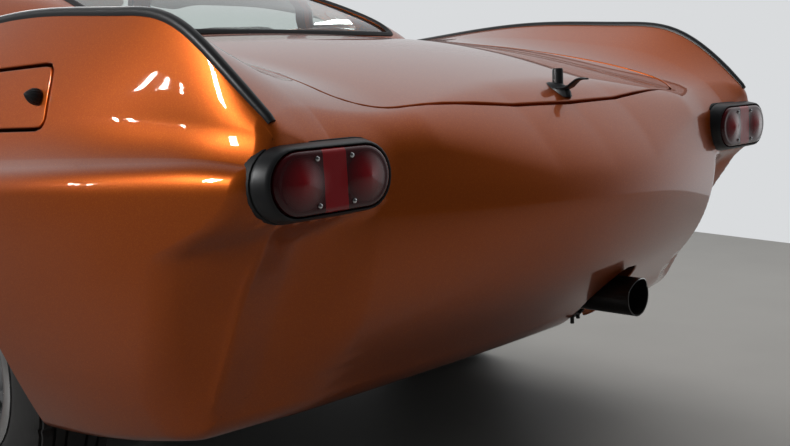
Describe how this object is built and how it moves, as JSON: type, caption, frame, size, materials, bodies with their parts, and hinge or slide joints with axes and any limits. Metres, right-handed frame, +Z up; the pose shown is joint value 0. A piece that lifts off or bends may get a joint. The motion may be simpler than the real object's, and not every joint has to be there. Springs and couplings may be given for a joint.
{
  "type": "sports_coupe",
  "caption": "Two-door finned sports coupe of the 1960s in copper-orange metallic paint with satin-black trims, no bumpers, red pill-shaped tail lamps",
  "frame": {"origin": "on the ground, under the middle of the car's length and width", "axes": "+X is the car's left side, +Y its tail, +Z up; the nose points to -Y"},
  "size_m": [1.732, 4.2465, 1.2881],
  "materials": {
    "paint": "gloss",
    "window_glass": "gloss",
    "satin_black": "satin",
    "chrome": "polished",
    "red_lens": "gloss",
    "lamp_glass": "gloss",
    "underbody": "matte",
    "engine_iron": "matte",
    "forged_steel": "satin",
    "tyre": "matte",
    "rim": "satin",
    "exhaust_steel": "satin",
    "seat_leather": "satin",
    "dash": "satin"
  },
  "bodies": {
    "car_body": {"nose_panel": "paint", "front_wings": "paint", "cowl_panel": "paint", "sills": "paint", "rear_quarters": "paint", "rear_deck": "paint", "tail_panel": "paint", "roof": "paint", "fixed_windows": "window_glass", "grille": "satin_black", "headlamps": "lamp_glass", "tail_lamp_housings": "satin_black", "tail_lamp_lenses": "red_lens", "fin_trims": "satin_black", "floor_pan": "underbody", "engine": "engine_iron", "driveline": "engine_iron", "front_crossmember": "engine_iron", "rear_axle": "engine_iron", "exhaust": "exhaust_steel", "fuel_tank": "underbody", "seats": "seat_leather", "rear_bench": "seat_leather", "dashboard": "dash"},
    "knuckle_left": {"knuckle_left": "forged_steel"},
    "knuckle_right": {"knuckle_right": "forged_steel"},
    "wheel_front_left": {"tyre_front_left": "tyre", "rim_front_left": "rim"},
    "wheel_front_right": {"tyre_front_right": "tyre", "rim_front_right": "rim"},
    "wheel_rear_left": {"tyre_rear_left": "tyre", "rim_rear_left": "rim"},
    "wheel_rear_right": {"tyre_rear_right": "tyre", "rim_rear_right": "rim"},
    "door_left": {"door_left": "paint", "door_glass_left": "window_glass", "door_handle_left": "chrome"},
    "door_right": {"door_right": "paint", "door_glass_right": "window_glass", "door_handle_right": "chrome"},
    "bonnet": {"bonnet": "paint"},
    "boot_lid": {"boot_lid": "paint", "boot_handle": "satin_black"},
    "fuel_flap": {"fuel_flap": "paint"},
    "hand_wheel": {"steering_wheel": "dash"}
  },
  "joints": [
    {"name": "steer_left", "type": "hinge", "parent": "car_body", "child": "knuckle_left", "pos_m": [0.595, -1.385, 0.315], "axis": [0, 0, 1], "range_deg": [-28, 28]},
    {"name": "steer_right", "type": "hinge", "parent": "car_body", "child": "knuckle_right", "pos_m": [-0.595, -1.385, 0.315], "axis": [0, 0, 1], "range_deg": [-28, 28]},
    {"name": "hand_wheel_turn", "type": "hinge", "parent": "car_body", "child": "hand_wheel", "pos_m": [0.345, -0.3, 0.765], "axis": [0, 0.9613, 0.2756], "range_deg": [-420, 420]},
    {"name": "wheel_front_left_spin", "type": "hinge", "parent": "knuckle_left", "child": "wheel_front_left", "pos_m": [0.6575, -1.385, 0.315], "axis": [1, 0, 0], "continuous": true},
    {"name": "wheel_front_right_spin", "type": "hinge", "parent": "knuckle_right", "child": "wheel_front_right", "pos_m": [-0.6575, -1.385, 0.315], "axis": [1, 0, 0], "continuous": true},
    {"name": "wheel_rear_left_spin", "type": "hinge", "parent": "car_body", "child": "wheel_rear_left", "pos_m": [0.6575, 1.065, 0.315], "axis": [1, 0, 0], "continuous": true},
    {"name": "wheel_rear_right_spin", "type": "hinge", "parent": "car_body", "child": "wheel_rear_right", "pos_m": [-0.6575, 1.065, 0.315], "axis": [1, 0, 0], "continuous": true},
    {"name": "door_left_hinge", "type": "hinge", "parent": "car_body", "child": "door_left", "pos_m": [0.846, -0.584, 0.6], "axis": [0, 0, -1], "range_deg": [0, 65]},
    {"name": "door_right_hinge", "type": "hinge", "parent": "car_body", "child": "door_right", "pos_m": [-0.846, -0.584, 0.6], "axis": [0, 0, 1], "range_deg": [0, 65]},
    {"name": "bonnet_hinge", "type": "hinge", "parent": "car_body", "child": "bonnet", "pos_m": [0, -0.703, 0.926], "axis": [-1, 0, 0], "range_deg": [0, 60]},
    {"name": "boot_lid_hinge", "type": "hinge", "parent": "car_body", "child": "boot_lid", "pos_m": [0, 1.262, 0.943], "axis": [1, 0, 0], "range_deg": [0, 70]},
    {"name": "fuel_flap_hinge", "type": "hinge", "parent": "car_body", "child": "fuel_flap", "pos_m": [0.7535, 1.34, 0.818], "axis": [0.325, 0, -0.9457], "range_deg": [0, 100]}
  ],
  "couplings": [
    {"joint": "steer_right", "follows": "steer_left", "ratio": 1},
    {"joint": "hand_wheel_turn", "follows": "steer_left", "ratio": 15}
  ]
}
